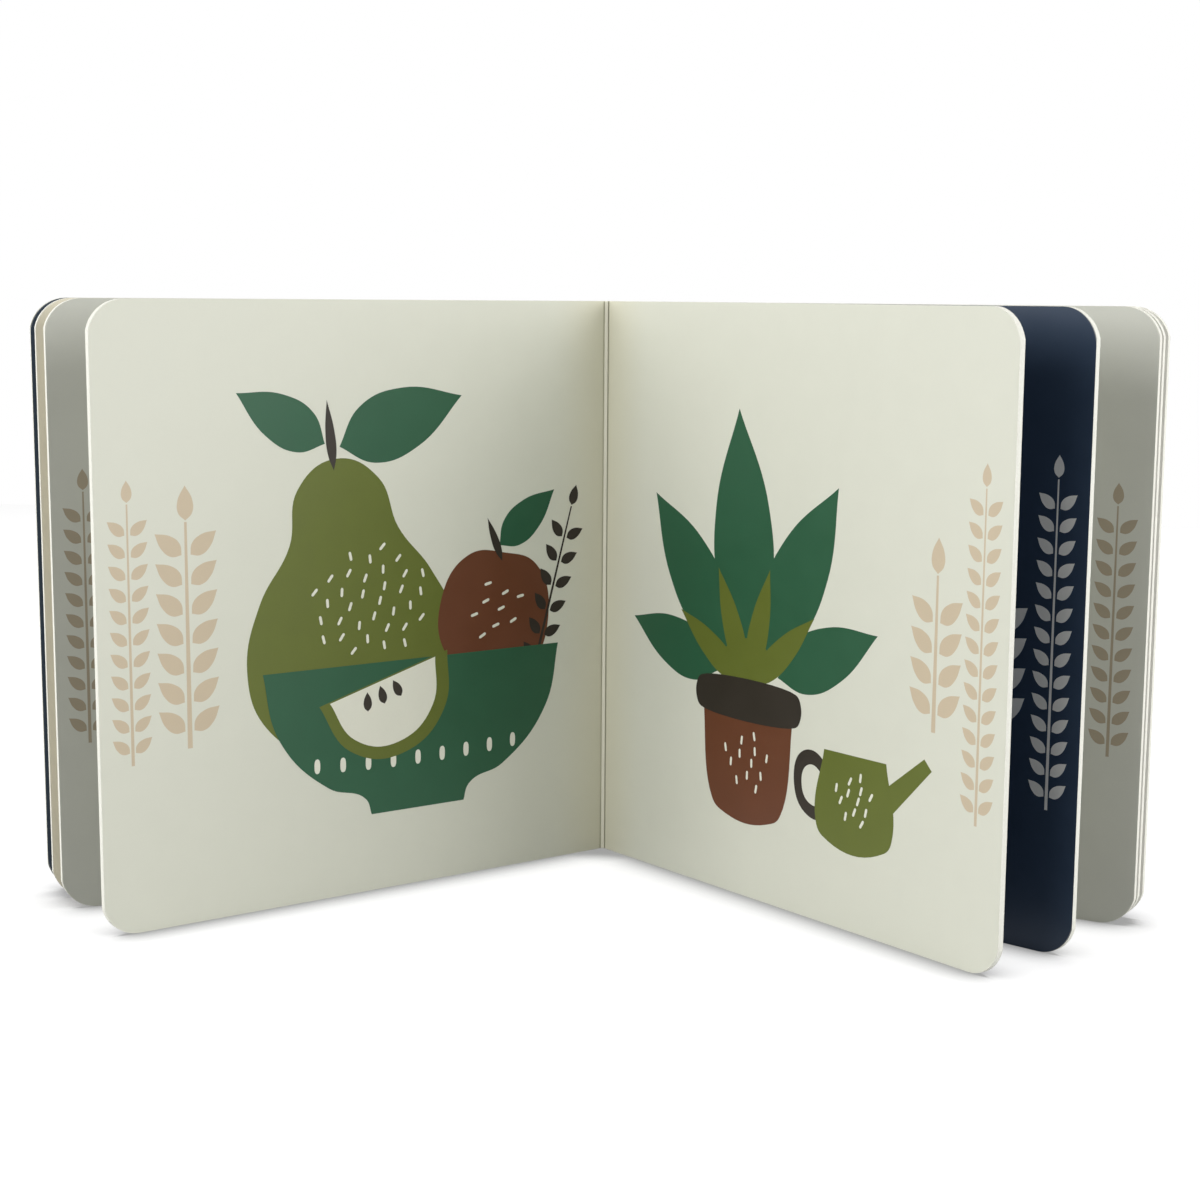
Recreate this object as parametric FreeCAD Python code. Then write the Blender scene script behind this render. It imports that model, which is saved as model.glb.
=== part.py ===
import FreeCAD, Part
import math
import os

# A square board book that stands open on its bottom edges, in a V towards the reader.
# Millimetres. +Z is up, the reader sits at -Y, and the front cover is at -X.
# The origin is at the foot of the open gutter, in the middle of the gutter strip.
#
# A leaf is two sheets of board glued back to back. Each sheet is one half of a spread, so
# neighbouring leaves are joined by the fold of the spread between them, and all the pages
# are one folded piece. The cover board wraps round them: a front, a back and a spine
# panel, which bows out behind the folds while the book is open.

# Leaves
page_height = 180.0
page_width = 178.0
sheet_thickness = 0.9
leaf_thickness = 2 * sheet_thickness

# Corners: the fore edge is trimmed a little inside the curve, so the two meet at a kink
corner_radius = 11.0
corner_trim = 0.3

# Gutter of the open spread: a flat strip between two creases
gutter_width = 1.5
crease_radius = 0.25

# Clearances at the cover board
cover_gap = 0.3
crease_gap = 0.3

# Angles between the faces of neighbouring leaves, in degrees, from the gutter outwards.
# The last angle of each list is the one inside that cover.
main_opening = 88.6
front_openings = [10.8, 3.6, 2.7]
back_openings = [9.8, 12.5, 0.5, 0.8]

# Which way a stack of leaves goes from the gutter
FRONT = -1
BACK = 1

# The bow of the spine is found to within this many radians
bow_precision = 1e-9


class Leaf:
    """One leaf's place: the fold at its inner face, the way it runs, and its thickness."""

    def __init__(self, fold, angle, side):
        slope = math.radians(angle)
        self.fold = fold
        self.along = FreeCAD.Vector(side * math.cos(slope), -math.sin(slope), 0)
        self.away = FreeCAD.Vector(side * math.sin(slope), math.cos(slope), 0)

    def next_fold(self):
        return self.fold + self.away * leaf_thickness


def leaf_stack(openings, side):
    """The leaves of one side, from the gutter outwards. The last one is the cover's."""
    fold = FreeCAD.Vector(side * gutter_width / 2, -sheet_thickness / 2, 0)
    angle = 90 - main_opening / 2
    leaves = [Leaf(fold, angle, side)]
    for opening in openings:
        angle -= opening
        leaves.append(Leaf(leaves[-1].next_fold(), angle, side))
    cover = leaves[-1]
    cover.fold = cover.fold + cover.away * cover_gap
    return leaves


def board(leaf):
    """A leaf's board: flat, square at the spine, with rounded corners at the fore edge."""
    reach = corner_radius - corner_trim
    drop = corner_radius - math.sqrt(corner_radius ** 2 - reach ** 2)
    middle = math.asin(reach / corner_radius) / 2

    def at(run, height):
        return leaf.fold + leaf.along * run + FreeCAD.Vector(0, 0, height)

    bend = page_width - reach
    run = bend + corner_radius * math.sin(middle)
    lift = corner_radius * (1 - math.cos(middle))
    low_arc = Part.Arc(at(bend, 0), at(run, lift), at(page_width, drop))
    top_arc = Part.Arc(
        at(page_width, page_height - drop), at(run, page_height - lift), at(bend, page_height)
    )
    outline = Part.Wire([
        Part.LineSegment(at(0, 0), at(bend, 0)).toShape(),
        low_arc.toShape(),
        Part.LineSegment(at(page_width, drop), at(page_width, page_height - drop)).toShape(),
        top_arc.toShape(),
        Part.LineSegment(at(bend, page_height), at(0, page_height)).toShape(),
        Part.LineSegment(at(0, page_height), at(0, 0)).toShape(),
    ])
    return Part.Face(outline).extrude(leaf.away * leaf_thickness)


def fold_round(centre, start, end):
    """The sheet where it turns round a fold: a sector as thick as the sheet, from start to end."""
    middle = (start + end).normalize()
    corner_a = centre + start * sheet_thickness
    corner_b = centre + end * sheet_thickness
    outline = Part.Wire([
        Part.LineSegment(centre, corner_a).toShape(),
        Part.Arc(corner_a, centre + middle * sheet_thickness, corner_b).toShape(),
        Part.LineSegment(corner_b, centre).toShape(),
    ])
    return Part.Face(outline).extrude(FreeCAD.Vector(0, 0, page_height))


def fold_between(leaf, outer_leaf):
    """The fold that joins a leaf to the next one out, as two sectors behind their ends."""
    centre = leaf.next_fold()
    behind = -(leaf.along + outer_leaf.along).normalize()
    inner_half = fold_round(centre, -leaf.away, behind)
    outer_half = fold_round(centre, behind, outer_leaf.away)
    return [inner_half, outer_half]


def gutter_strip(front_leaf, back_leaf):
    """The flat strip of the open spread, with the turn of the sheet at each of its creases."""
    behind = FreeCAD.Vector(0, 1, 0)
    strip = Part.makeBox(gutter_width, sheet_thickness, page_height, front_leaf.fold)
    front_turn = fold_round(front_leaf.fold, front_leaf.away, behind)
    back_turn = fold_round(back_leaf.fold, behind, back_leaf.away)
    return [strip, front_turn, back_turn]


def page_block(front_leaves, back_leaves):
    """All the pages: the boards between the covers, and the folds that join them."""
    solids = gutter_strip(front_leaves[0], back_leaves[0])
    for stack in (front_leaves, back_leaves):
        pages = stack[:-1]
        solids += [board(leaf) for leaf in pages]
        for leaf, outer_leaf in zip(pages, pages[1:]):
            solids += fold_between(leaf, outer_leaf)
        # The last fold belongs to the spread inside the cover: half of it is the page's
        last = pages[-1]
        solids.append(fold_round(last.next_fold(), -last.away, -last.along))
    block = solids[0].fuse(solids[1:]).removeSplitter()
    for leaf in (front_leaves[0], back_leaves[0]):
        block = block.cut(Part.makeCylinder(crease_radius, page_height, leaf.fold))
    return block


def half_angle_of_bow(chord, width):
    """Half the angle of the arc that is width long and spans chord, by halving the range."""
    low, high = 0.0, math.pi
    while high - low > bow_precision:
        middle = (low + high) / 2
        if math.sin(middle) / middle > chord / width:
            low = middle
        else:
            high = middle
    return low


def spine_panel(front_cover, back_cover):
    """The spine of the cover board, as wide as the closed book, bowed out between the covers."""
    front_corner = front_cover.next_fold()
    back_corner = back_cover.next_fold()
    across = back_corner - front_corner
    chord = across.Length
    across.normalize()
    behind = FreeCAD.Vector(-across.y, across.x, 0)

    leaf_count = len(front_openings) + len(back_openings) + 2
    half_angle = half_angle_of_bow(chord, leaf_count * leaf_thickness)
    outer_radius = chord / 2 / math.sin(half_angle)
    chord_middle = (front_corner + back_corner) / 2 + behind * crease_gap
    centre = chord_middle - behind * (outer_radius * math.cos(half_angle))

    def at(radius, angle):
        return centre + across * (radius * math.sin(angle)) + behind * (radius * math.cos(angle))

    def arc(radius):
        return Part.Arc(at(radius, -half_angle), at(radius, 0), at(radius, half_angle)).toShape()

    inner_radius = outer_radius - sheet_thickness
    outline = Part.Wire([
        arc(outer_radius),
        Part.LineSegment(at(outer_radius, half_angle), at(inner_radius, half_angle)).toShape(),
        arc(inner_radius),
        Part.LineSegment(at(inner_radius, -half_angle), at(outer_radius, -half_angle)).toShape(),
    ])
    return Part.Face(outline).extrude(FreeCAD.Vector(0, 0, page_height))


front_leaves = leaf_stack(front_openings, FRONT)
back_leaves = leaf_stack(back_openings, BACK)

nodes = {
    "page_block": page_block(front_leaves, back_leaves),
    "front_cover": board(front_leaves[-1]),
    "back_cover": board(back_leaves[-1]),
    "spine": spine_panel(front_leaves[-1], back_leaves[-1]),
}

os.makedirs("parts", exist_ok=True)
for name, shape in nodes.items():
    shape.exportStep(f"parts/{name}.step")
    print(f"{name}: {len(shape.Solids)} solid, {shape.Volume:.1f} cubic mm, valid {shape.isValid()}")
for name, stack in (("front_cover", front_leaves), ("back_cover", back_leaves)):
    hinge = stack[-1].next_fold()
    print(f"{name} hinge at x {hinge.x:.4f}, y {hinge.y:.4f}")
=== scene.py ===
# %% [markdown]
# # A board book that stands open
#
# The object is a square board book for small children. It stands on its bottom edges in a V,
# open near its middle. Its solid parts come from a CAD model: all the pages as one folded
# piece, the two covers and the spine. They stay where they are. This script adds what the CAD
# model doesn't have: the printed sheets on the board, the pictures, the creases and the light.
#
# Everything is in metres. The book's foot is at z = 0, and its reader sits at -Y.

# %% Load the CAD model
import math
from collections import namedtuple

import bmesh
import bpy
from mathutils import Matrix, Vector


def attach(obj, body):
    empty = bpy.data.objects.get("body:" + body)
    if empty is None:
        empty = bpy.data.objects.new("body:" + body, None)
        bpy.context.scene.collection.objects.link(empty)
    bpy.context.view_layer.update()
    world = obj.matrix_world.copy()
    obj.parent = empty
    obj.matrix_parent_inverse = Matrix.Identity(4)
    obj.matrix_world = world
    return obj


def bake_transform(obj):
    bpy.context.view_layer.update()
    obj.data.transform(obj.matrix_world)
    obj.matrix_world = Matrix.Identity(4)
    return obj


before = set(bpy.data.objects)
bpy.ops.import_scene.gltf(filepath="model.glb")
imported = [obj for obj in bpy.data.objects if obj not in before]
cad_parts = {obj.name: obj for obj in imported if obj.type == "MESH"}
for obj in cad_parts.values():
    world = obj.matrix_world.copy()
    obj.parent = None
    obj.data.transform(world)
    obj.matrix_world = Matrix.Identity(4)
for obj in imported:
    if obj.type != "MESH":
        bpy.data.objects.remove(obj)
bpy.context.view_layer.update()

print("CAD parts:", sorted(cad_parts))

# %% [markdown]
# ## Sizes, and where each leaf stands
#
# A leaf is two sheets of board glued back to back, so it is twice as thick as a sheet. The
# leaves fan out from the gutter, and each one starts behind the fold of the one before it.
# The angles between them are all that is needed to place them, so they are added up here, with
# the same values as in the CAD model. A leaf is kept as its fold, at its inner face, and two
# directions: along the leaf, and away from the gutter, which is through its thickness.

# %% Sizes, written in millimetres
MM = 0.001
page_height = 180 * MM
page_width = 178 * MM
board = 0.9 * MM
leaf_thickness = 2 * board
corner_radius = 11 * MM
corner_trim = 0.3 * MM
gutter_width = 1.5 * MM
crease_radius = 0.25 * MM
cover_gap = 0.3 * MM
crease_gap = 0.3 * MM
print("a page is", round(page_width / MM), "mm wide and", round(page_height / MM), "mm high")

# %% The leaves, from the gutter outwards
main_opening = 88.6
front_openings = [10.8, 3.6, 2.7]
back_openings = [9.8, 12.5, 0.5, 0.8]
FRONT = -1
BACK = 1
UP = Vector((0, 0, 1))

Leaf = namedtuple("Leaf", "fold along away opening")


def stack_of_leaves(openings, side):
    """The leaves of one side from the gutter outwards. The last one is the cover."""
    fold = Vector((side * gutter_width / 2, -board / 2, 0))
    angle = 90 - main_opening / 2
    leaves = []
    for opening in [0] + openings:
        angle -= opening
        slope = math.radians(angle)
        along = Vector((side * math.cos(slope), -math.sin(slope), 0))
        away = Vector((side * math.sin(slope), math.cos(slope), 0))
        if leaves:
            fold = leaves[-1].fold + leaves[-1].away * leaf_thickness
        leaves.append(Leaf(fold, along, away, opening))
    cover = leaves.pop()
    leaves.append(cover._replace(fold=cover.fold + cover.away * cover_gap))
    return leaves


front_leaves = stack_of_leaves(front_openings, FRONT)
back_leaves = stack_of_leaves(back_openings, BACK)
print(len(front_leaves), "leaves to the left of the gutter,", len(back_leaves), "to the right")

# %% [markdown]
# ## The camera
#
# The photograph was taken with a longish lens, from a little above the middle of the book and
# a little to the right of it. A camera is placed by its position and three angles: how far it
# is turned to the side, how far it looks down, and how far it is tilted. The small lens shift
# moves the picture without changing the perspective.

# %% Camera
camera_place = Vector((97.66, -715.63, 182.56)) * MM
turned_right = math.radians(-7.668)
looking_down = math.radians(9.144)
tilted = math.radians(0.451)

ahead = Vector((
    math.sin(turned_right) * math.cos(looking_down),
    math.cos(turned_right) * math.cos(looking_down),
    -math.sin(looking_down),
))
level_right = Vector((math.cos(turned_right), -math.sin(turned_right), 0))
level_up = level_right.cross(ahead)
camera_right = level_right * math.cos(tilted) + level_up * math.sin(tilted)
camera_up = level_up * math.cos(tilted) - level_right * math.sin(tilted)

camera_data = bpy.data.cameras.new("camera")
camera_data.sensor_width = 36
camera_data.lens = 66.806
camera_data.shift_x = -0.0067
camera_data.shift_y = 0.0429
camera = bpy.data.objects.new("camera", camera_data)
camera.matrix_world = Matrix((camera_right, camera_up, -ahead)).transposed().to_4x4()
camera.location = camera_place
bpy.context.scene.collection.objects.link(camera)
bpy.context.scene.camera = camera
print("the camera is", round(camera_place.length / MM), "mm from the foot of the gutter")

# %% [markdown]
# ## A helper for materials, and colours
#
# Colours are written as they look on a screen, in hex. Blender counts light, so each is turned
# into linear numbers first. A material is a small tree of nodes, and the one helper below adds
# a node, sets what it is told to, and links what it is given.

# %% Colours and nodes
def linear(hex_colour):
    """A screen colour such as #E4E1D3 as Blender's linear red, green, blue and alpha."""
    channels = [int(hex_colour[i:i + 2], 16) / 255 for i in (1, 3, 5)]
    return [c / 12.92 if c <= 0.04045 else ((c + 0.055) / 1.055) ** 2.4 for c in channels] + [1]


def add_node(tree, kind, inputs=None, **settings):
    """Adds a node. An input is a number, a colour, or the output of another node."""
    node = tree.nodes.new(kind)
    for name, value in settings.items():
        setattr(node, name, value)
    for name, value in (inputs or {}).items():
        if isinstance(value, bpy.types.NodeSocket):
            tree.links.new(value, node.inputs[name])
        else:
            node.inputs[name].default_value = value
    return node


def new_material(name):
    """An empty material, and its tree."""
    material = bpy.data.materials.new(name)
    material.use_nodes = True
    material.node_tree.nodes.clear()
    return material, material.node_tree


print("a middle grey of #808080 is", round(linear("#808080")[0], 3), "as light")

# %% [markdown]
# ## The board: white bleached pulp board
#
# The pages are cut from white board of pressed paper pulp. Its cut edges show round every
# page as a bright line. The die that cuts it leaves the edge matt and faintly streaked, because
# the board is made in layers that lie flat in the sheet. On the upright fore edge these layers
# run up and down. The CAD parts get this material, and where they are printed, a sheet of its
# own lies on them. The streaks are a noise that is stretched upwards, and fine fibres roughen it.

# %% Board material for the CAD parts
fibre_layer = 0.35 * MM
fibre_length = 14 * MM
pulp_grain = 0.6 * MM

# Nearly all of a noise lies between these two values
noise_low = 0.3
noise_high = 0.7


def cut_board():
    """Die-cut edge of white pulp board: matt, with faint layers and soft fibres."""
    material, tree = new_material("cut_pulp_board")
    place = add_node(tree, "ShaderNodeTexCoord").outputs["Object"]
    stretched = add_node(
        tree, "ShaderNodeMapping",
        {"Vector": place, "Scale": (1, 1, fibre_layer / fibre_length)},
    )
    layers = add_node(
        tree, "ShaderNodeTexNoise",
        {"Vector": stretched.outputs["Vector"], "Scale": 1 / fibre_layer, "Detail": 2},
    )
    fibres = add_node(
        tree, "ShaderNodeTexNoise", {"Vector": place, "Scale": 1 / pulp_grain, "Detail": 3},
    )
    both = add_node(
        tree, "ShaderNodeMix",
        {"Factor": 0.5, "A": layers.outputs["Fac"], "B": fibres.outputs["Fac"]},
    )
    tint = add_node(
        tree, "ShaderNodeMapRange",
        {"Value": both.outputs["Result"], "From Min": noise_low, "From Max": noise_high},
    )
    colour = add_node(
        tree, "ShaderNodeMix",
        {"Factor": tint.outputs["Result"], 6: linear("#E0DFD4"), 7: linear("#EEEEE5")},
        data_type="RGBA",
    )
    bump = add_node(
        tree, "ShaderNodeBump",
        {"Height": both.outputs["Result"], "Strength": 0.4, "Distance": 0.05 * MM},
    )
    shader = add_node(tree, "ShaderNodeBsdfPrincipled", {
        "Base Color": colour.outputs[2], "Roughness": 0.85, "IOR": 1.47,
        "Normal": bump.outputs["Normal"],
    })
    add_node(tree, "ShaderNodeOutputMaterial", {"Surface": shader.outputs["BSDF"]})
    return material


cut_pulp_board = cut_board()
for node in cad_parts.values():
    for slot in node.material_slots:
        slot.material = cut_pulp_board
print("CAD parts finished with", cut_pulp_board.name)

# %% [markdown]
# ## Printed paper under a satin film
#
# Each spread is printed in offset ink and covered with a thin satin film, so that it can be
# wiped clean. The ink is very even: only a faint cloudiness shows, a few millimetres across.
# The film lies on pulp board that is never quite flat, so what it reflects is soft and a little
# uneven. At the cut edges and corners the film rubs off first, and the white board shows.
# Near the fold of the open spread, two facing pages light each other with their own warm colour,
# more than the lamps of this scene make them do, so this warm bounce light is painted into the
# colour, as a tint that fades out from the fold.
#
# The patterns follow each sheet, wherever it stands. For that, every printed piece keeps an
# attribute called sheet: its place on the page, in metres, across from the fold and up from the
# foot. The distance to the cut edge is worked out from it as for a rectangle with round corners.

# %% Where a point is on its page
def off_the_middle(tree, sheet):
    """How far a point is from the fold and from half the page's height, both as positive."""
    centred = add_node(
        tree, "ShaderNodeVectorMath", {0: sheet, 1: (0, page_height / 2, 0)},
        operation="SUBTRACT",
    )
    half = add_node(
        tree, "ShaderNodeVectorMath", {0: centred.outputs["Vector"]}, operation="ABSOLUTE",
    )
    return half.outputs["Vector"]


def past_the_corner(tree, half):
    """How far a point is out from its corner's centre. At the cut edge that is the radius."""
    past = add_node(
        tree, "ShaderNodeVectorMath",
        {0: half, 1: (page_width - corner_radius, page_height / 2 - corner_radius, 1)},
        operation="SUBTRACT",
    )
    outside = add_node(
        tree, "ShaderNodeVectorMath", {0: past.outputs["Vector"], 1: (0, 0, 0)},
        operation="MAXIMUM",
    )
    length = add_node(
        tree, "ShaderNodeVectorMath", {0: outside.outputs["Vector"]}, operation="LENGTH",
    )
    return length.outputs["Value"]


# %% Painted warm bounce light at the fold, and wear at the cut edge
painted_bounce_reach = 22 * MM
rub_width = 0.35 * MM
most_rubbed = 0.8
board_white = "#F0EFE5"


def painted_fold_bounce(tree, colour, half, tone):
    """The colour, multiplied by a painted warm bounce light that fades out from the fold."""
    across = add_node(tree, "ShaderNodeSeparateXYZ", {"Vector": half})
    in_painted_bounce = add_node(
        tree, "ShaderNodeMapRange",
        {"Value": across.outputs["X"], "From Min": painted_bounce_reach, "From Max": 0},
        interpolation_type="SMOOTHSTEP",
    )
    toned = add_node(
        tree, "ShaderNodeMix",
        {"Factor": in_painted_bounce.outputs["Result"], 6: colour, 7: linear(tone)},
        data_type="RGBA", blend_type="MULTIPLY",
    )
    return toned.outputs[2]


def rubbed_at_edge(tree, colour, half, tooth, rub):
    """The colour, worn through to the board in an uneven line along the cut edge."""
    reach = add_node(
        tree, "ShaderNodeMath",
        {0: tooth, 1: rub_width * rub, 2: corner_radius - rub_width * rub},
        operation="MULTIPLY_ADD",
    )
    rubbed = add_node(
        tree, "ShaderNodeMapRange",
        {"Value": past_the_corner(tree, half), "From Min": reach.outputs["Value"],
         "From Max": corner_radius, "To Max": most_rubbed * min(rub, 1)},
    )
    worn = add_node(
        tree, "ShaderNodeMix",
        {"Factor": rubbed.outputs["Result"], 6: colour, 7: linear(board_white)},
        data_type="RGBA",
    )
    return worn.outputs[2]


# %% Material of a printed face
cloud_size = 9 * MM
tooth_size = 0.5 * MM
wave_size = 38 * MM


def printed(name, ink, cloud=0.035, rub=0.45, roughness=0.4, wave=0.5 * MM, painted_bounce_tone=None):
    """Offset print under satin film. cloud is how uneven the ink is, rub how worn the edges."""
    material, tree = new_material(name)
    sheet = add_node(tree, "ShaderNodeAttribute", attribute_name="sheet").outputs["Vector"]
    clouds, tooth, waves = [
        add_node(
            tree, "ShaderNodeTexNoise", {"Vector": sheet, "Scale": 1 / size, "Detail": detail},
        ).outputs["Fac"]
        for size, detail in ((cloud_size, 4), (tooth_size, 2), (wave_size, 1))
    ]

    both = add_node(tree, "ShaderNodeMix", {"Factor": 0.4, "A": clouds, "B": tooth})
    shade = add_node(
        tree, "ShaderNodeMapRange",
        {"Value": both.outputs["Result"], "From Min": noise_low, "From Max": noise_high,
         "To Min": 1 - cloud, "To Max": 1 + cloud},
    )
    inked = add_node(
        tree, "ShaderNodeVectorMath", {0: linear(ink)[:3], "Scale": shade.outputs["Result"]},
        operation="SCALE",
    )
    half = off_the_middle(tree, sheet)
    colour = inked.outputs["Vector"]
    # Painted warm bounce light near the fold, where facing pages light each other
    if painted_bounce_tone:
        colour = painted_fold_bounce(tree, colour, half, painted_bounce_tone)
    colour = rubbed_at_edge(tree, colour, half, tooth, rub)

    dull = add_node(
        tree, "ShaderNodeMapRange",
        {"Value": clouds, "From Min": noise_low, "From Max": noise_high,
         "To Min": roughness - 0.03, "To Max": roughness + 0.04},
    )
    tooth_bump = add_node(
        tree, "ShaderNodeBump", {"Height": tooth, "Strength": 0.25, "Distance": 0.02 * MM},
    )
    wave_bump = add_node(
        tree, "ShaderNodeBump",
        {"Height": waves, "Strength": 0.5, "Distance": wave,
         "Normal": tooth_bump.outputs["Normal"]},
    )
    shader = add_node(tree, "ShaderNodeBsdfPrincipled", {
        "Base Color": colour, "Roughness": dull.outputs["Result"], "IOR": 1.45,
        "Specular IOR Level": 0.35, "Normal": wave_bump.outputs["Normal"],
    })
    add_node(tree, "ShaderNodeOutputMaterial", {"Surface": shader.outputs["BSDF"]})
    return material


# %% [markdown]
# ## The colours of the spreads
#
# Each spread has a ground colour of its own. Behind the open pages it shows as slivers: grey and
# beige on the left, navy and grey on the right. The creases of the open spread get painted shade,
# a darker print where the pressed grooves fall into shadow, on the right more than on the left.
# The covers' outside doesn't show, so a plain dark film is chosen for it, with edges that are
# rubbed the most.

# %% Colours of the spreads and of the covers
# The cream pages get painted warm bounce light near their fold
cream_print = printed("cream_print", "#DCDDCF", cloud=0.012, painted_bounce_tone="#FFFCF5")
# Painted light: the gutter strip is printed a little lighter than the page
strip_print = printed("strip_print", "#E7E5D3", cloud=0.012)
# Painted shade in the pressed creases, darker on the right than on the left
left_crease_print = printed("left_crease_print", "#CECDB7", cloud=0.012)
right_crease_print = printed("right_crease_print", "#B6B49E", cloud=0.012)
navy_print = printed("navy_print", "#314054")
slate_print = printed("slate_print", "#434F5B")
grey_print = printed("grey_print", "#CDCEC4", cloud=0.015)
ivory_print = printed("ivory_print", "#FAF9F2", cloud=0.012)
beige_print = printed("beige_print", "#EBE6D3", cloud=0.015)
cover_film = printed(
    "navy_cover_film", "#26364A", cloud=0.06, rub=1.6, roughness=0.48, wave=0.1 * MM
)
print("printed materials:", [m.name for m in bpy.data.materials if "print" in m.name])

# %% [markdown]
# ## A helper that turns a shape into a piece
#
# Each piece is made flat, in its own page's terms: x across from the fold, y up from the foot
# and z out of the board. The helper keeps those numbers as the attribute sheet, moves the shape
# to its place on the book, and makes an object of it. The object itself stays at the origin,
# so its place is in its mesh. Where a piece turns by less than a set angle from one face to the
# next, it is shaded as one smooth surface.

# %% From a flat shape to a piece on the book
smooth_up_to = math.radians(30)


def make_piece(name, shape, place, material):
    """Makes an object of a bmesh that is drawn flat on its page, and puts it on the book."""
    sheet = shape.verts.layers.float_vector.new("sheet")
    for vert in shape.verts:
        vert[sheet] = vert.co
    bmesh.ops.transform(shape, matrix=place, verts=shape.verts)
    bmesh.ops.recalc_face_normals(shape, faces=shape.faces)
    mesh = bpy.data.meshes.new(name)
    shape.to_mesh(mesh)
    shape.free()
    mesh.shade_smooth()
    mesh.set_sharp_from_angle(angle=smooth_up_to)
    mesh.materials.append(material)
    piece = bpy.data.objects.new(name, mesh)
    bpy.context.scene.collection.objects.link(piece)
    return piece


def place_on_page(leaf, outer_face=False):
    """Where a leaf's face is: x to its reader's right from the fold, y up, z out of the board."""
    normal = leaf.away if outer_face else -leaf.away
    fold = leaf.fold + leaf.away * leaf_thickness if outer_face else leaf.fold
    place = Matrix((UP.cross(normal), UP, normal)).transposed().to_4x4()
    place.translation = fold
    return place


def direction_on_page(leaf, place):
    """1 where the leaf runs to its reader's right, -1 where it runs to the left."""
    return 1 if leaf.along.dot(place.col[0].to_3d()) > 0 else -1


# %% [markdown]
# ## The printed sheets
#
# On the real book the print is a coated sheet on the board, cut in one stroke with it. So its
# outline is the board's: square at the fold, round at the two fore-edge corners, where the
# trimmed fore edge meets the rounding at a slight kink. Here a square is bevelled at two of its
# vertices, cut off at the fore edge and given a thickness of a few hundredths of a millimetre.
# It ends a hair inside the board, which leaves the board's white edge in view.
#
# Two faces of a spread meet in its fold. Their sheets start where they would touch: the
# narrower the opening, the further from the fold.

# %% One printed sheet
film = 0.05 * MM
edge_inset = 0.05 * MM
corner_steps = 12


def printed_sheet(name, leaf, outer_face, start, material, body):
    """A thin printed sheet over one face of a leaf, from start off its fold to the fore edge."""
    shape = bmesh.new()
    bmesh.ops.create_grid(shape, x_segments=1, y_segments=1, size=0.5)
    end = page_width + corner_trim - edge_inset
    size = (end - start, page_height - 2 * edge_inset, 1)
    bmesh.ops.scale(shape, vec=size, verts=shape.verts)
    bmesh.ops.translate(shape, vec=((start + end) / 2, page_height / 2, 0), verts=shape.verts)
    bmesh.ops.bevel(
        shape, geom=[v for v in shape.verts if v.co.x > page_width / 2], affect="VERTICES",
        offset=corner_radius - edge_inset, segments=corner_steps, profile=0.5, material=-1,
    )
    bmesh.ops.bisect_plane(
        shape, geom=shape.verts[:] + shape.edges[:] + shape.faces[:],
        plane_co=(page_width - edge_inset, 0, 0), plane_no=(1, 0, 0), clear_outer=True,
    )
    raised = bmesh.ops.extrude_face_region(shape, geom=shape.faces[:])["geom"]
    raised = [g for g in raised if isinstance(g, bmesh.types.BMVert)]
    bmesh.ops.translate(shape, vec=(0, 0, film), verts=raised)
    place = place_on_page(leaf, outer_face)
    bmesh.ops.scale(shape, vec=(direction_on_page(leaf, place), 1, 1), verts=shape.verts)
    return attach(make_piece(name, shape, place, material), body)


print("a printed sheet is", film / MM, "mm thick")

# %% Printed sheets on both faces of every leaf
crease_reach = 0.8 * MM
crease_print_reach = crease_radius + 0.15 * MM
hair = 0.01 * MM


def start_in_fold(opening):
    """How far from the fold the two sheets of a spread that opens this far would touch."""
    return film / math.tan(math.radians(opening / 2)) + hair


def spreads(side_name, leaves, inks):
    """The printed sheets of every spread on one side, from the gutter to the cover."""
    for number, (leaf, facing, ink) in enumerate(zip(leaves, leaves[1:], inks), 1):
        at_cover = facing is leaves[-1]
        start = film if at_cover else start_in_fold(facing.opening)
        name = f"{side_name}_spread_{number}"
        printed_sheet(name + "_near_page", leaf, True, start, ink, "pages")
        printed_sheet(
            name + "_far_page", facing, False, start, ink,
            f"{side_name}_cover" if at_cover else "pages",
        )
    printed_sheet(
        f"{side_name}_cover_outside", leaves[-1], True, crease_reach, cover_film,
        f"{side_name}_cover",
    )


for name, leaf in (("left_page_sheet", front_leaves[0]), ("right_page_sheet", back_leaves[0])):
    printed_sheet(name, leaf, False, crease_print_reach, cream_print, "pages")
spreads("front", front_leaves, [grey_print, beige_print, slate_print])
spreads("back", back_leaves, [navy_print, grey_print, ivory_print, ivory_print])

# %% [markdown]
# ## The gutter
#
# Between the two open pages lies a narrow flat strip, with a pressed crease on each side of it.
# The printed sheet runs through all of it. Here it is three pieces, because the creases get
# painted shade, darker than the strip. A crease's section is drawn by spinning a point round it,
# and each section is then drawn up the book, as an edge is extruded in the editor.

# %% Drawing a section, and sweeping it up the book
def swept_up(shape, thickness):
    """Draws a line of edges up to the book's height, and thickens the wall that this makes."""
    bmesh.ops.translate(shape, vec=(0, 0, edge_inset), verts=shape.verts)
    wall = bmesh.ops.extrude_edge_only(shape, edges=shape.edges[:])["geom"]
    top = [g for g in wall if isinstance(g, bmesh.types.BMVert)]
    bmesh.ops.translate(shape, vec=(0, 0, page_height - 2 * edge_inset), verts=top)
    bmesh.ops.solidify(shape, geom=shape.faces[:], thickness=thickness)


def run_to(shape, end, steps=1):
    """Draws the line on from its last vertex to a point, in equal steps."""
    shape.verts.ensure_lookup_table()
    step = (end - shape.verts[-1].co) / steps
    for _ in range(steps):
        shape.verts.ensure_lookup_table()
        last = bmesh.ops.extrude_vert_indiv(shape, verts=[shape.verts[-1]])["verts"]
        bmesh.ops.translate(shape, vec=step, verts=last)


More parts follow.
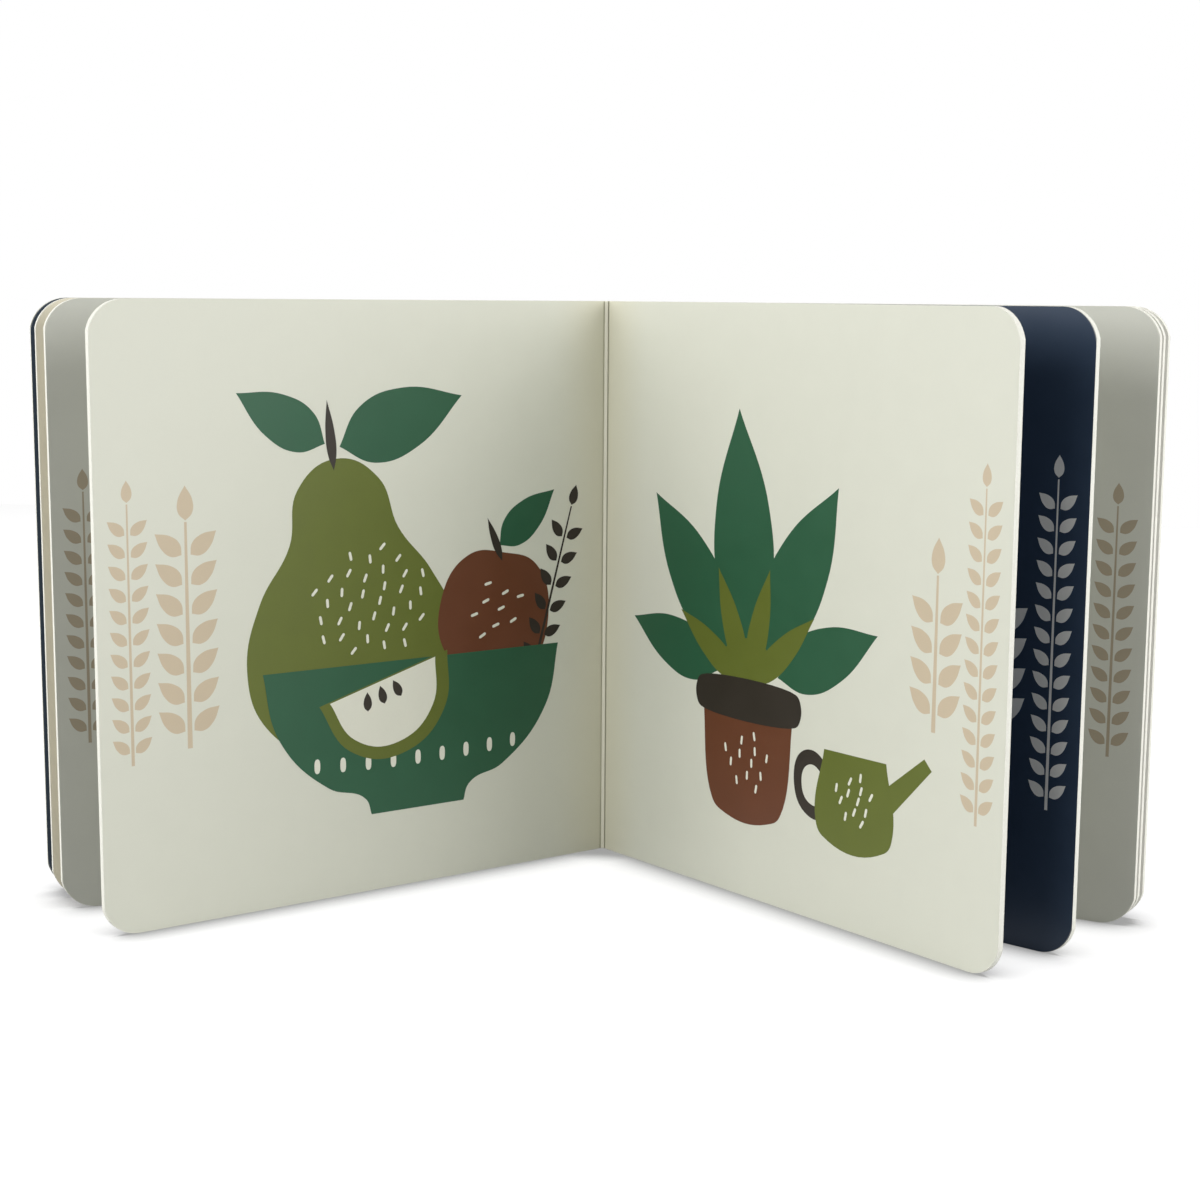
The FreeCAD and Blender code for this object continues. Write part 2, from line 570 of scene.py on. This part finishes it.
def turn_about(shape, centre, angle, steps):
    """Draws the line on from its last vertex as an arc about an upright axis."""
    shape.verts.ensure_lookup_table()
    bmesh.ops.spin(
        shape, geom=[shape.verts[-1]], cent=centre, axis=UP, dvec=(0, 0, 0), angle=angle,
        steps=steps, use_merge=False, use_normal_flip=False, use_duplicate=False,
    )


def upright_piece(name, shape, material):
    """A piece that was swept up in place. Its sheet attribute is x from the fold and z up."""
    lay_flat = Matrix.Rotation(math.radians(-90), 4, "X")
    bmesh.ops.transform(shape, matrix=lay_flat, verts=shape.verts)
    return make_piece(name, shape, lay_flat.inverted(), material)


# %% Lining of the gutter and of its creases
left_fold = front_leaves[0].fold
right_fold = back_leaves[0].fold
left_along = front_leaves[0].along
right_along = back_leaves[0].along

# From the strip's face round behind the crease to the page's face
round_the_crease = math.radians(main_opening / 2 - 270)
crease_steps = 12

left_crease = bmesh.new()
left_crease.verts.new(left_fold + left_along * crease_print_reach)
run_to(left_crease, left_fold + left_along * crease_radius)
turn_about(left_crease, left_fold, round_the_crease, crease_steps)

strip = bmesh.new()
strip.verts.new(left_fold + Vector((crease_radius, 0, 0)))
run_to(strip, right_fold - Vector((crease_radius, 0, 0)))

right_crease = bmesh.new()
right_crease.verts.new(right_fold - Vector((crease_radius, 0, 0)))
turn_about(right_crease, right_fold, round_the_crease, crease_steps)
run_to(right_crease, right_fold + right_along * crease_print_reach)

# The creases' linings carry painted shade
for name, shape, ink in (
    ("left_crease_lining", left_crease, left_crease_print),
    # The strip's lining carries painted light, lighter than the page
    ("gutter_strip", strip, strip_print),
    ("right_crease_lining", right_crease, right_crease_print),
):
    swept_up(shape, film)
    lining = upright_piece(name, shape, ink)
    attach(lining, "pages")
    print(name, "has", len(lining.data.polygons), "faces")

# %% [markdown]
# ## The cover's wrap round the spine
#
# The cover is one sheet of board with a dark film on its outside. It is creased where the
# spine ends, so that the covers can turn. Here the film on the spine is a spun line, drawn up
# the book. The spine bows out as nearly half a circle while the book is open, because it is as
# wide as the closed book is thick.
#
# Over each crease lies a narrow strip of film of its own, which runs from the spine, across the
# gap, onto the cover.

# %% How the spine bows
leaf_count = len(front_leaves) + len(back_leaves)
front_hinge = front_leaves[-1].fold + front_leaves[-1].away * leaf_thickness
back_hinge = back_leaves[-1].fold + back_leaves[-1].away * leaf_thickness
chord = back_hinge - front_hinge
behind = UP.cross(chord).normalized()
halvings = 40


def half_angle_of_bow(share):
    """Half the angle of an arc whose chord is this share of its length, by halving the range."""
    low, high = 0.0, math.pi
    for _ in range(halvings):
        middle = (low + high) / 2
        if math.sin(middle) / middle > share:
            low = middle
        else:
            high = middle
    return low


bow_length = leaf_count * leaf_thickness
half_bow = half_angle_of_bow(chord.length / bow_length)
bow_radius = chord.length / 2 / math.sin(half_bow)
bow_centre = (front_hinge + back_hinge) / 2 + behind * (
    crease_gap - bow_radius * math.cos(half_bow)
)
print("the spine bows through", round(math.degrees(2 * half_bow)), "degrees")

# %% Film on the spine
crease_angle = crease_reach / bow_radius
bow_steps = 40


def on_the_bow(angle):
    """A point on the spine's outside, at an angle from the middle of its bow."""
    return bow_centre + Matrix.Rotation(-angle, 3, "Z") @ behind * bow_radius


spine_shape = bmesh.new()
spine_shape.verts.new(on_the_bow(crease_angle - half_bow))
turn_about(spine_shape, bow_centre, 2 * (crease_angle - half_bow), bow_steps)
swept_up(spine_shape, film)
spine_film = upright_piece("spine_film", spine_shape, cover_film)
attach(spine_film, "pages")
print("spine film has", len(spine_film.data.polygons), "faces")

# %% Film over the covers' creases
spine_bands = 4
gap_bands = 6
cover_bands = 2

for side, leaves, hinge in ((FRONT, front_leaves, front_hinge), (BACK, back_leaves, back_hinge)):
    body = "front_cover" if side == FRONT else "back_cover"
    crease_shape = bmesh.new()
    crease_shape.verts.new(on_the_bow(side * (half_bow - crease_angle)))
    turn_about(crease_shape, bow_centre, -side * crease_angle, spine_bands)
    run_to(crease_shape, hinge, gap_bands)
    run_to(crease_shape, hinge + leaves[-1].along * crease_reach, cover_bands)
    swept_up(crease_shape, side * film)
    crease = upright_piece(body + "_crease", crease_shape, cover_film)
    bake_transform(crease)
    print(crease.name, "has", len(crease.data.polygons), "faces")

# %% [markdown]
# ## The fold inside each cover
#
# Inside the cover the sheet runs from the last page across the fold to the cover's inner face.
# When the cover turns back, this fold opens. A thin wall between the two faces stands for it.
# It is cut into narrow bands.

# %% Folds inside the covers
fold_bands = 10


def inner_fold(name, leaves, ink, body):
    """The sheet across the fold inside a cover, as a wall cut into narrow bands."""
    page = leaves[-2]
    start = page.fold + page.away * leaf_thickness
    end = leaves[-1].fold
    shape = bmesh.new()
    shape.verts.new(start)
    run_to(shape, end, fold_bands)
    swept_up(shape, film if body == "front_cover" else -film)
    piece = upright_piece(name, shape, ink)
    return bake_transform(piece)


inner_fold("front_inner_fold", front_leaves, slate_print, "front_cover")
inner_fold("back_inner_fold", back_leaves, ivory_print, "back_cover")

# %% [markdown]
# ## Inks for the pictures
#
# Children's board books are often printed with a few flat, matt colours and cut-paper shapes.
# The pictures here are plain ones of that kind: fruit in a bowl on the left, a plant in a pot
# on the right. Their inks are the same print as the pages, in stronger colours that are a
# little cloudier, and they don't reach the cut edges, so nothing is rubbed off them.

# %% Inks
green_ink = printed("dark_green_ink", "#26573C", cloud=0.04, rub=0)
olive_ink = printed("olive_ink", "#606A26", cloud=0.04, rub=0)
brown_ink = printed("brown_ink", "#643820", cloud=0.04, rub=0)
charcoal_ink = printed("charcoal_ink", "#2C251E", cloud=0.04, rub=0)
cream_ink = printed("cream_ink", "#E6E6D7", cloud=0.02, rub=0)
tan_ink = printed("tan_ink", "#CCBCA2", cloud=0.02, rub=0)
chalk_ink = printed("chalk_ink", "#EEEDE6", cloud=0.02, rub=0)
clay_ink = printed("clay_ink", "#A99D88", cloud=0.02, rub=0)
print("inks:", [m.name for m in bpy.data.materials if m.name.endswith("_ink")])

# %% [markdown]
# ## Pictures as flat curves
#
# Each shape is drawn as a closed Bezier curve through a few points, which is how one would draw
# it in the editor. Blender fills a flat curve, and its extrude gives it a thickness. Ink has
# almost none, but a hundredth of a millimetre of height keeps its colour clear of the page's.
# Where shapes overlap, each one lies a layer higher.
#
# A point of a shape is (x, y) in millimetres, or (x, y, "sharp") for a corner or a tip. Each
# outline of a piece is filled by itself and lies a hair above the one before, because where
# outlines of one flat curve cross, Blender fills neither. That rule also makes holes: outlines
# that are kept together in a list are filled as one curve, and the inner one stays open. All
# outlines of a piece stay within half a layer, so the first never sinks into what it lies on.

# %% From outlines to a printed piece
ink_layer = 0.012 * MM
overlap_step = 0.0005 * MM
same_place = 0.00005 * MM


def filled_outlines(outlines):
    """A flat sheet of ink with this outline. A second outline inside it leaves a hole."""
    curve = bpy.data.curves.new("drawing", "CURVE")
    curve.dimensions = "2D"
    curve.fill_mode = "BOTH"
    curve.resolution_u = 10
    curve.extrude = ink_layer
    for outline in outlines:
        spline = curve.splines.new("BEZIER")
        spline.bezier_points.add(len(outline) - 1)
        spline.use_cyclic_u = True
        for point, (x, y, *corner) in zip(spline.bezier_points, outline):
            point.co = (x * MM, y * MM, 0)
            handle = "VECTOR" if corner else "AUTO"
            point.handle_left_type = handle
            point.handle_right_type = handle
    drawing = bpy.data.objects.new("drawing", curve)
    filled = bpy.data.meshes.new_from_object(drawing)
    bpy.data.objects.remove(drawing)
    bpy.data.curves.remove(curve)
    return filled


def print_shapes(name, leaf, outlines, ink, layer=1):
    """Prints shapes on a leaf's inner face as one piece. Layer 1 lies on the sheet, 2 on 1."""
    step = min(overlap_step, ink_layer / 2 / len(outlines))
    shape = bmesh.new()
    for outline in outlines:
        filled = filled_outlines(outline if isinstance(outline[0], list) else [outline])
        bmesh.ops.translate(shape, vec=(0, 0, -step), verts=shape.verts)
        shape.from_mesh(filled)
        bpy.data.meshes.remove(filled)
    bmesh.ops.remove_doubles(shape, verts=shape.verts, dist=same_place)
    bmesh.ops.translate(shape, vec=(0, 0, film + (layer - 1) * ink_layer), verts=shape.verts)
    piece = make_piece(name, shape, place_on_page(leaf), ink)
    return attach(piece, "pages")


print("a layer of ink is", ink_layer / MM, "mm thick")

# %% [markdown]
# ### Shapes that are used again and again
#
# A leaf, a fleck and a twig each come up many times, in several sizes. So each is drawn once,
# by a function, and then turned, sized and moved to its places. The flecks are scattered as the
# seeds of a sunflower are: each is turned on by the golden angle from the one before it.

# %% Leaves, flecks and twigs
golden_angle = math.pi * (3 - math.sqrt(5))
fleck_sway = 30
fleck_sway_step = 3.1


def moved(outline, x, y, turn=0, size=1):
    """An outline turned by degrees, sized and then moved."""
    c = math.cos(math.radians(turn)) * size
    s = math.sin(math.radians(turn)) * size
    return [(x + c * px - s * py, y + s * px + c * py, *corner) for px, py, *corner in outline]


def leaf_shape(length, width):
    """A pointed leaf that grows from (0, 0) along x."""
    half = [(0.22 * length, 0.42 * width), (0.58 * length, 0.44 * width)]
    below = [(x, -y) for x, y in half]
    return [(0, 0, "sharp"), *below, (length, 0, "sharp"), *half[::-1]]


def bean(length, width):
    """A small rounded shape, lying along x about (0, 0)."""
    return [(-length / 2, 0), (0, -width / 2), (length / 2, 0), (0, width / 2)]


def flecks(x, y, width, height, count, turn=75):
    """Small strokes scattered over an oval, each turned a little differently."""
    found = []
    for number in range(count):
        share = math.sqrt((number + 0.5) / count)
        across = x + share * width / 2 * math.cos(number * golden_angle)
        up = y + share * height / 2 * math.sin(number * golden_angle)
        sway = fleck_sway * math.sin(fleck_sway_step * number)
        found.append(moved(bean(2.8, 0.9), across, up, turn + sway))
    return found


def twig(x, low, high, leaf_length, spacing):
    """The outlines of an upright twig between two heights."""
    stalk = 0.15 * leaf_length
    leaf_width = 0.5 * leaf_length
    neck = high - leaf_length
    outlines = [[
        (x - stalk / 2, low, "sharp"), (x + stalk / 2, low, "sharp"),
        (x + stalk / 4, neck, "sharp"), (x - stalk / 4, neck, "sharp"),
    ], moved(leaf_shape(0.95 * leaf_length, leaf_width), x, neck + 0.4, 90)]
    pairs = round((neck - low - spacing) / spacing)
    for number in range(pairs):
        y = low + spacing * (number + 0.6)
        for side in (-1, 1):
            leaf = moved(leaf_shape(leaf_length, leaf_width), stalk * 0.9, y, 38)
            outlines.append([(x + side * px, py, *corner) for px, py, *corner in leaf])
    return outlines


print("a twig 80 mm high has", len(twig(0, 0, 80, 10, 8)), "outlines")

# %% [markdown]
# ### The left page: fruit in a bowl
#
# The bowl is in front and the fruit stands in it, so the bowl is a layer higher. A slice of
# fruit leans on its rim. Leaves and stalks are one pointed leaf shape, drawn out and turned.

# %% Shapes of the left page
pear = [
    (0, 1), (19, -1), (33, 10), (37, 27), (30, 46), (20, 61), (15, 77), (1, 85), (-13, 78),
    (-18, 62), (-30, 47), (-37, 28), (-33, 10), (-18, -1),
]
bowl = [
    (-54, 44, "sharp"), (54, 44, "sharp"), (49, 24), (32, 7), (19, 2), (17, -3, "sharp"),
    (-17, -3, "sharp"), (-19, 2), (-32, 7), (-49, 24),
]
plum = [(0, -20), (17, -14), (21, 3), (13, 18), (0, 20), (-14, 17), (-21, 2), (-16, -14)]
slice_skin = [(-24, 0, "sharp"), (24, 0, "sharp"), (18, -17), (0, -25), (-18, -17)]
print("the bowl has", len(bowl), "points")

# %% Left page
left_leaf = front_leaves[0]
print_shapes("left_page_pear", left_leaf, [moved(pear, -91, 49, 7)], olive_ink)
print_shapes("left_page_plum", left_leaf, [moved(plum, -43, 82, -12)], brown_ink, layer=2)
print_shapes("left_page_leaves", left_leaf, [
    moved(leaf_shape(46, 21), -99, 137, 18), moved(leaf_shape(33, 15), -104, 138, 152),
    moved(leaf_shape(27, 12), -41, 104, 38),
], green_ink, layer=3)
print_shapes("left_page_stalks", left_leaf, [
    moved(leaf_shape(21, 3.4), -101, 130, 96), moved(leaf_shape(15, 2.8), -40, 99, 112),
    *[moved(outline, -28, 62, -16) for outline in twig(0, 0, 62, 7, 8)],
], charcoal_ink, layer=4)
print_shapes("left_page_bowl", left_leaf, [moved(bowl, -72, 27)], green_ink, layer=5)
print_shapes("left_page_slice", left_leaf, [moved(slice_skin, -84, 66, 16)], olive_ink, layer=6)
print_shapes("left_page_slice_flesh", left_leaf, [
    moved(slice_skin, -84.4, 65.4, 16, 0.82),
], cream_ink, layer=7)
print_shapes("left_page_seeds", left_leaf, [
    moved(leaf_shape(6, 3), -84 + 6 * n, 58 + 1.8 * n, 106 + 14 * n) for n in (-1, 0, 1)
], charcoal_ink, layer=8)
print_shapes("left_page_flecks", left_leaf, [
    *flecks(-88, 90, 44, 34, 34), *flecks(-43, 84, 22, 20, 9, 20),
    *[moved(bean(4.5, 2), -72 + 9 * n, 40 + 0.08 * n * n, 90) for n in range(-4, 5)],
], cream_ink, layer=6)

# %% [markdown]
# ### The right page: a plant in a pot
#
# The leaves fan out from the top of the pot. Each one is turned by its place in the fan, and
# starts a little way up its stalk. Beside the pot stands a can, whose handle has a hole.

# %% Shapes of the right page
pot = [(-21, 34, "sharp"), (21, 34, "sharp"), (16, 3), (12, 0), (-12, 0), (-16, 3)]
pot_rim = [(-24, 32), (-22, 30), (22, 30), (24, 32), (24, 38), (22, 40), (-22, 40), (-24, 38)]

# Each leaf of the fan: how far it is turned from upright, in degrees, and its length
fan = [(-74, 44), (-39, 58), (-4, 70), (31, 60), (67, 46)]
sprout_turns = (-57, -22, 14, 49)

can = [(-13, 26, "sharp"), (13, 26, "sharp"), (16, 4), (13, 0), (-13, 0), (-16, 4)]
spout = [(12, 8, "sharp"), (31, 27, "sharp"), (28, 30, "sharp"), (13, 19, "sharp")]
stalk = [(0, -0.8, "sharp"), (16, -0.8, "sharp"), (16, 0.8, "sharp"), (0, 0.8, "sharp")]
handle = [(-12, 21), (-22, 24), (-26, 14), (-20, 5), (-12, 6)]
grip = [(-14, 18), (-20, 20), (-22.5, 13.5), (-18.5, 8.5), (-14, 9.5)]
print("the fan has", len(fan), "leaves")

# %% Right page
right_leaf = back_leaves[0]


def in_fan(outline, turn, from_centre):
    """An outline that grows up from the pot, turned to its place in the fan."""
    shifted = [(x + from_centre, y, *corner) for x, y, *corner in outline]
    return moved(shifted, 72, 64, 90 - turn)


print_shapes("right_page_leaves", right_leaf, [
    in_fan(leaf_shape(length, 0.4 * length), turn, 15) for turn, length in fan
], green_ink)
print_shapes("right_page_stalks", right_leaf, [
    in_fan(stalk, turn, 0) for turn, length in fan[1:4]
], olive_ink)
print_shapes("right_page_sprouts", right_leaf, [
    in_fan(leaf_shape(36, 9), turn, 3) for turn in sprout_turns
], olive_ink, layer=2)
print_shapes("right_page_pot", right_leaf, [moved(pot, 72, 25)], brown_ink, layer=3)
print_shapes("right_page_pot_rim", right_leaf, [moved(pot_rim, 72, 26)], charcoal_ink, layer=4)
print_shapes("right_page_can", right_leaf, [moved(can, 120, 26)], olive_ink, layer=2)
print_shapes("right_page_can_spout", right_leaf, [moved(spout, 120, 26)], olive_ink, layer=1)
print_shapes("right_page_can_handle", right_leaf, [
    [moved(handle, 120, 26), moved(grip, 120, 26)],
], charcoal_ink, layer=1)
print_shapes("right_page_flecks", right_leaf, [
    *flecks(72, 42, 24, 18, 12, 90), *flecks(120, 39, 18, 15, 12, 70),
], cream_ink, layer=4)

# %% [markdown]
# ### Twigs along the fore edges
#
# Down the outer edge of each page run two plain twigs, one bold and one fine, in a pale ink.
# A twig is a stalk with pairs of leaves that start just beside it.

# %% Twigs
bold = {"leaf_length": 10.5, "spacing": 8.5}
fine = {"leaf_length": 6.6, "spacing": 6.2}
print_shapes("left_page_bold_twig", front_leaves[0], twig(-150, 52, 128, **bold), tan_ink)
print_shapes("left_page_fine_twig", front_leaves[0], twig(-168, 49, 130, **fine), tan_ink)
print_shapes("right_page_bold_twig", back_leaves[0], twig(151, 64, 118, **bold), tan_ink)
print_shapes("right_page_fine_twig", back_leaves[0], twig(168, 41, 139, **fine), tan_ink)
print_shapes("front_grey_twig", front_leaves[1], twig(-168.5, 50, 131, **fine), clay_ink)
print_shapes("back_navy_bold_twig", back_leaves[1], twig(150, 60, 116, **bold), chalk_ink)
print_shapes("back_navy_fine_twig", back_leaves[1], twig(168, 41, 140, **fine), chalk_ink)
print_shapes("back_grey_twig", back_leaves[2], twig(168, 50, 130, **fine), clay_ink)

# %% [markdown]
# ## Light, floor and background
#
# The book stands in a plain white studio. Its pages are brightest at their fore edges and fall
# off towards the gutter, and that comes from large soft lamps at both sides and at both sides
# of the front, each of which one page hides from the other. One more lamp stands to the left of
# the camera, one hangs above, and one behind the book lights the covers. A lamp's power is
# worked out from the brightness that it gives a white card that faces it, as the distance
# squared times pi squared.

# %% Lamps
book_middle = Vector((0, -0.06, 0.09))

# Each lamp: its name, its place and the side of its square in metres, and its brightness
lamps = [
    ("left_lamp", (-1.2, -0.35, 0.45), 1.0, 0.40),
    ("right_lamp", (1.2, -0.35, 0.45), 1.0, 0.65),
    ("left_front_lamp", (-1.1, -0.95, 0.6), 0.8, 0.31),
    ("right_front_lamp", (1.1, -0.95, 0.6), 0.8, 0.21),
    ("camera_lamp", (-0.8, -1.2, 0.7), 0.8, 0.25),
    ("top_lamp", (0, -0.15, 1.3), 1.0, 0.30),
    ("cover_lamp", (0, 0.9, 0.9), 1.0, 0.38),
]
for name, place, size, brightness in lamps:
    lamp = bpy.data.lights.new(name, "AREA")
    lamp.shape = "SQUARE"
    lamp.size = size
    to_lamp = Vector(place) - book_middle
    lamp.energy = brightness * to_lamp.length_squared * math.pi ** 2
    lamp_object = bpy.data.objects.new(name, lamp)
    lamp_object.location = place
    lamp_object.rotation_mode = "QUATERNION"
    lamp_object.rotation_quaternion = to_lamp.to_track_quat("Z", "Y")
    bpy.context.scene.collection.objects.link(lamp_object)
print(len(lamps), "lamps")

# %% [markdown]
# ## Floor and background
#
# The floor and the world are white to the camera and to reflections. All other rays see a pale
# grey floor and a dim world, so the background doesn't light the book from below. The floor
# that the camera sees is partly lit by the lamps and partly glows by itself, so that it keeps
# the book's shadow, but a faint one. Close to the book it darkens: the Ambient Occlusion node
# tells how much of the space above a point is hidden by something within a short reach.

# %% Which rays see the white studio
def seen_rays(tree):
    """1 for rays from the camera, and for those that a reflection or glass sends on."""
    path = add_node(tree, "ShaderNodeLightPath")
    shown = add_node(
        tree, "ShaderNodeMath",
        {0: path.outputs["Is Camera Ray"], 1: path.outputs["Is Glossy Ray"]}, operation="MAXIMUM",
    )
    shown = add_node(
        tree, "ShaderNodeMath",
        {0: shown.outputs["Value"], 1: path.outputs["Is Transmission Ray"]}, operation="MAXIMUM",
    )
    return shown.outputs["Value"]


# %% Floor material
floor_grey = 0.55
floor_seen = 0.35
floor_glow = 0.81
contact_reach = 17 * MM
contact_shade = 0.36
contact_fade = 1.5
contact_rays = 16
open_above = 1
wall_beside = 0.5

floor_material, tree = new_material("white_floor")
near = add_node(
    tree, "ShaderNodeAmbientOcclusion", {"Distance": contact_reach}, samples=contact_rays,
)
covered = add_node(
    tree, "ShaderNodeMapRange",
    {"Value": near.outputs["AO"], "From Min": open_above, "From Max": wall_beside},
)
faded = add_node(
    tree, "ShaderNodeMath", {0: covered.outputs["Result"], 1: contact_fade}, operation="POWER",
)
contact = add_node(
    tree, "ShaderNodeMapRange",
    {"Value": faded.outputs["Value"], "To Min": 1, "To Max": contact_shade},
)
lit = add_node(
    tree, "ShaderNodeMath", {0: contact.outputs["Result"], 1: floor_seen}, operation="MULTIPLY",
)
glow = add_node(
    tree, "ShaderNodeMath", {0: contact.outputs["Result"], 1: floor_glow}, operation="MULTIPLY",
)
lit = add_node(tree, "ShaderNodeBsdfDiffuse", {"Color": lit.outputs["Value"]})
glow = add_node(tree, "ShaderNodeEmission", {"Strength": glow.outputs["Value"]})
seen = add_node(tree, "ShaderNodeAddShader", {0: lit.outputs["BSDF"], 1: glow.outputs["Emission"]})
unseen = add_node(tree, "ShaderNodeBsdfDiffuse", {"Color": [floor_grey] * 3 + [1]})
either = add_node(
    tree, "ShaderNodeMixShader",
    {0: seen_rays(tree), 1: unseen.outputs["BSDF"], 2: seen.outputs["Shader"]},
)
add_node(tree, "ShaderNodeOutputMaterial", {"Surface": either.outputs["Shader"]})
print("the floor darkens within", round(contact_reach / MM), "mm of the book")

# %% Floor
floor_size = 2.2
floor_shape = bmesh.new()
bmesh.ops.create_grid(floor_shape, x_segments=1, y_segments=1, size=floor_size / 2)
bmesh.ops.translate(floor_shape, vec=(0, 0, -edge_inset), verts=floor_shape.verts)
floor_mesh = bpy.data.meshes.new("floor")
floor_shape.to_mesh(floor_mesh)
floor_shape.free()
floor_mesh.materials.append(floor_material)
floor = bpy.data.objects.new("floor", floor_mesh)
bpy.context.scene.collection.objects.link(floor)
print("the floor is", floor_size, "m wide")

# %% World
world_light = 0.06
world = bpy.data.worlds.new("white_studio")
world.use_nodes = True
world.node_tree.nodes.clear()
bpy.context.scene.world = world
strength = add_node(
    world.node_tree, "ShaderNodeMapRange",
    {"Value": seen_rays(world.node_tree), "To Min": world_light, "To Max": 1},
)
background = add_node(
    world.node_tree, "ShaderNodeBackground",
    {"Color": (1, 1, 1, 1), "Strength": strength.outputs["Result"]},
)
add_node(world.node_tree, "ShaderNodeOutputWorld", {"Surface": background.outputs["Background"]})
bpy.context.scene.view_settings.view_transform = "Standard"
print("the world lights the book at", world_light)
